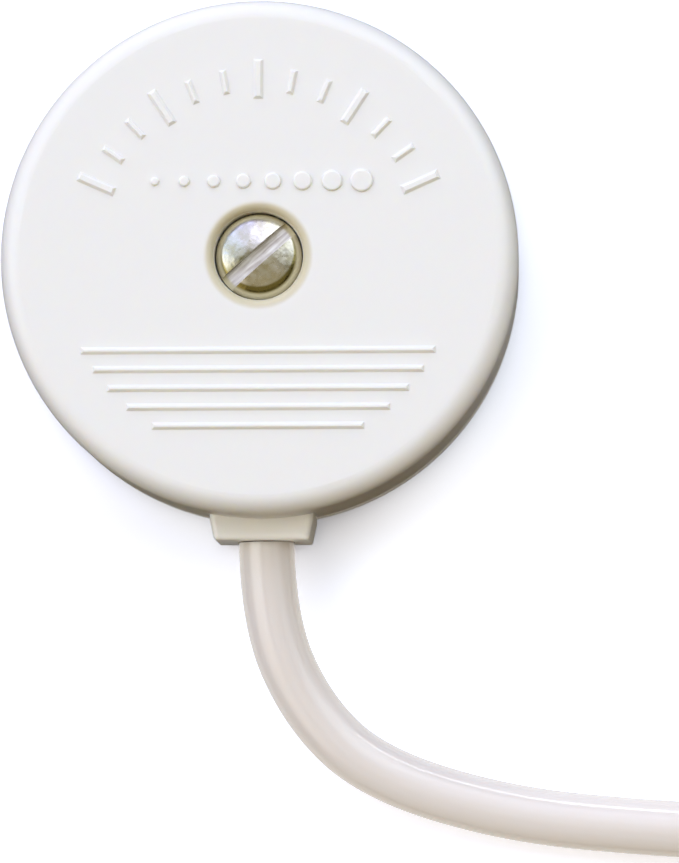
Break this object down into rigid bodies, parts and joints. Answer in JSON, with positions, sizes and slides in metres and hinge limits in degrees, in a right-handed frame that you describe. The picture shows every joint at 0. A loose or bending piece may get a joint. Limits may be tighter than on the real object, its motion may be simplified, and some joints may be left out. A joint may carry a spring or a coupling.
{
  "type": "glass break sensor",
  "caption": "Round stick-on contact sensor for window glass, with a screwed cover, a lead neck and a coiled two-wire lead.",
  "frame": {"origin": "centre of the adhesive pad's back, the face that meets the glass", "axes": "+Z out of the sensor's face, -Y out of the lead's neck"},
  "size_m": [0.1117, 0.0687, 0.0129],
  "materials": {
    "housing": "moulded ABS, fine satin",
    "screw": "zinc plated steel",
    "brass": "turned",
    "pad": "closed-cell foam tape",
    "board": "phenolic laminate",
    "spring": "rolled phosphor bronze",
    "contact": "tinned and silver faced",
    "red_wire": "soft PVC",
    "black_wire": "soft PVC",
    "jacket": "soft PVC",
    "tie": "nylon",
    "copper": "stripped stranded copper"
  },
  "bodies": {
    "root": {"base": "housing", "cover": "housing", "cover_screw": "screw", "threaded_insert": "brass", "adhesive_pad": "pad", "contact_board": "board", "board_screws": "screw", "leaf_spacer": "board", "leaf_clamp": "spring", "contact_leaf": "spring", "leaf_rivets": "brass", "inertia_weight": "brass", "moving_contact": "contact", "fixed_contact": "contact", "fixed_strip": "spring", "terminal_pins": "contact", "solder_joints": "contact", "inner_wire_red": "red_wire", "inner_wire_black": "black_wire", "jacket_end": "jacket", "inner_cable_tie": "tie", "lead_cable": "jacket", "lead_coil": "jacket", "coil_tie": "tie", "tail_red": "red_wire", "tail_black": "black_wire", "tail_tips": "copper"}
  },
  "joints": []
}
